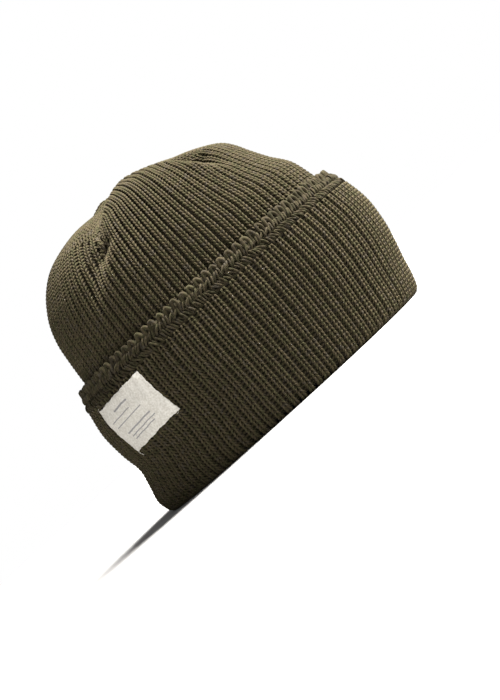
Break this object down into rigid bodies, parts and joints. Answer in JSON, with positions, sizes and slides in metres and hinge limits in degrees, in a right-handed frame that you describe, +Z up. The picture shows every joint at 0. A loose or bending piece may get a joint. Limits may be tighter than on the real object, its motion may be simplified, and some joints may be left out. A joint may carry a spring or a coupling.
{
  "type": "watch cap",
  "caption": "Rib-knit watch cap in its worn form: a crown gathered by darts, a deep turned-up cuff with a looped edge, and a small sewn-on cloth label.",
  "frame": {"origin": "middle of the cap's bounding box on the plane that the rim rests on", "axes": "+Z up through the crown, -Y towards the forehead, -X the wearer's right, where the label is"},
  "size_m": [0.174, 0.214, 0.1676],
  "materials": {
    "crown_knit": "thick rib knit in marled olive wool",
    "cuff_knit": "thick rib knit in marled olive wool",
    "label_cloth": "plain cream canvas with faint grey ruled lines"
  },
  "bodies": {
    "root": {"crown": "crown_knit", "cuff": "cuff_knit", "label": "label_cloth"}
  },
  "joints": []
}
